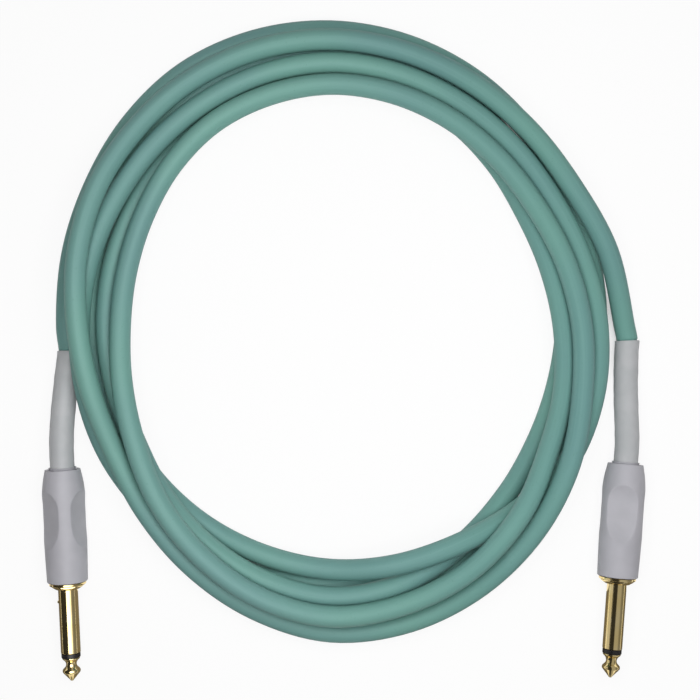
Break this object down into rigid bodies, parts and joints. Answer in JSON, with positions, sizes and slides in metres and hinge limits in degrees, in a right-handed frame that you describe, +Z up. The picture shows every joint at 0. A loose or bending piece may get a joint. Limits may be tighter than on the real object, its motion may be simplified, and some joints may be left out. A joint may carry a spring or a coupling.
{
  "type": "instrument cable",
  "caption": "Coiled instrument cable with a straight quarter-inch mono plug on each end; screw-on grip barrels, heat-shrink boots, gold-plated contacts.",
  "frame": {"origin": "on the table, midway under the two plugs with their boots (centre of their bounding box)", "axes": "+Z up from the table, +X from the left plug to the right plug, the plugs point along -Y"},
  "size_m": [0.1969, 0.2164, 0.023],
  "materials": {
    "cable_jacket": "matte extruded PVC, soft teal green",
    "heat_shrink": "matte grey shrink tube",
    "barrel_paint": "matte lavender-grey coating",
    "gold_plate": "polished gold plate",
    "brass_sheet": "stamped sheet",
    "black_insulator": "moulded, satin",
    "nylon": "natural nylon",
    "fibre": "pressed fibre",
    "liner_plastic": "thin dark insulating tube",
    "core_insulation": "extruded polyethylene",
    "copper": "bare stranded copper",
    "solder": "bright tin solder"
  },
  "bodies": {
    "plugs_and_cable": {"left_tip_contact": "gold_plate", "left_tip_ring": "black_insulator", "left_rod_insulator": "nylon", "left_sleeve": "gold_plate", "left_ground_claw": "brass_sheet", "left_fibre_washer": "fibre", "left_tip_tag": "brass_sheet", "left_core": "core_insulation", "left_conductor": "copper", "left_shield_pigtail": "copper", "left_tip_solder": "solder", "left_ground_solder": "solder", "left_cable_tail": "cable_jacket", "left_boot": "heat_shrink", "left_lead": "cable_jacket", "right_tip_contact": "gold_plate", "right_tip_ring": "black_insulator", "right_rod_insulator": "nylon", "right_sleeve": "gold_plate", "right_ground_claw": "brass_sheet", "right_fibre_washer": "fibre", "right_tip_tag": "brass_sheet", "right_core": "core_insulation", "right_conductor": "copper", "right_shield_pigtail": "copper", "right_tip_solder": "solder", "right_ground_solder": "solder", "right_cable_tail": "cable_jacket", "right_boot": "heat_shrink", "right_lead": "cable_jacket", "cable_coil": "cable_jacket"},
    "left_liner_carrier": {"left_liner": "liner_plastic"},
    "left_barrel_shell": {"left_barrel": "barrel_paint"},
    "right_liner_carrier": {"right_liner": "liner_plastic"},
    "right_barrel_shell": {"right_barrel": "barrel_paint"}
  },
  "joints": [
    {"name": "left_barrel_travel", "type": "slide", "parent": "plugs_and_cable", "child": "left_liner_carrier", "axis": [-0.0401, 0.9989, 0.0262], "range_m": [0, 0.0045]},
    {"name": "left_barrel_turn", "type": "hinge", "parent": "left_liner_carrier", "child": "left_barrel_shell", "pos_m": [-0.0918, 0.0139, 0.0077], "axis": [-0.0401, 0.9989, 0.0262], "range_deg": [0, 2160]},
    {"name": "right_barrel_travel", "type": "slide", "parent": "plugs_and_cable", "child": "right_liner_carrier", "axis": [0.0802, 0.9962, -0.0349], "range_m": [0, 0.0045]},
    {"name": "right_barrel_turn", "type": "hinge", "parent": "right_liner_carrier", "child": "right_barrel_shell", "pos_m": [0.0922, 0.0156, 0.00676], "axis": [0.0802, 0.9962, -0.0349], "range_deg": [0, 2160]}
  ],
  "couplings": [
    {"joint": "left_barrel_turn", "follows": "left_barrel_travel", "rad_per_m": 8377.6},
    {"joint": "right_barrel_turn", "follows": "right_barrel_travel", "rad_per_m": 8377.6}
  ]
}
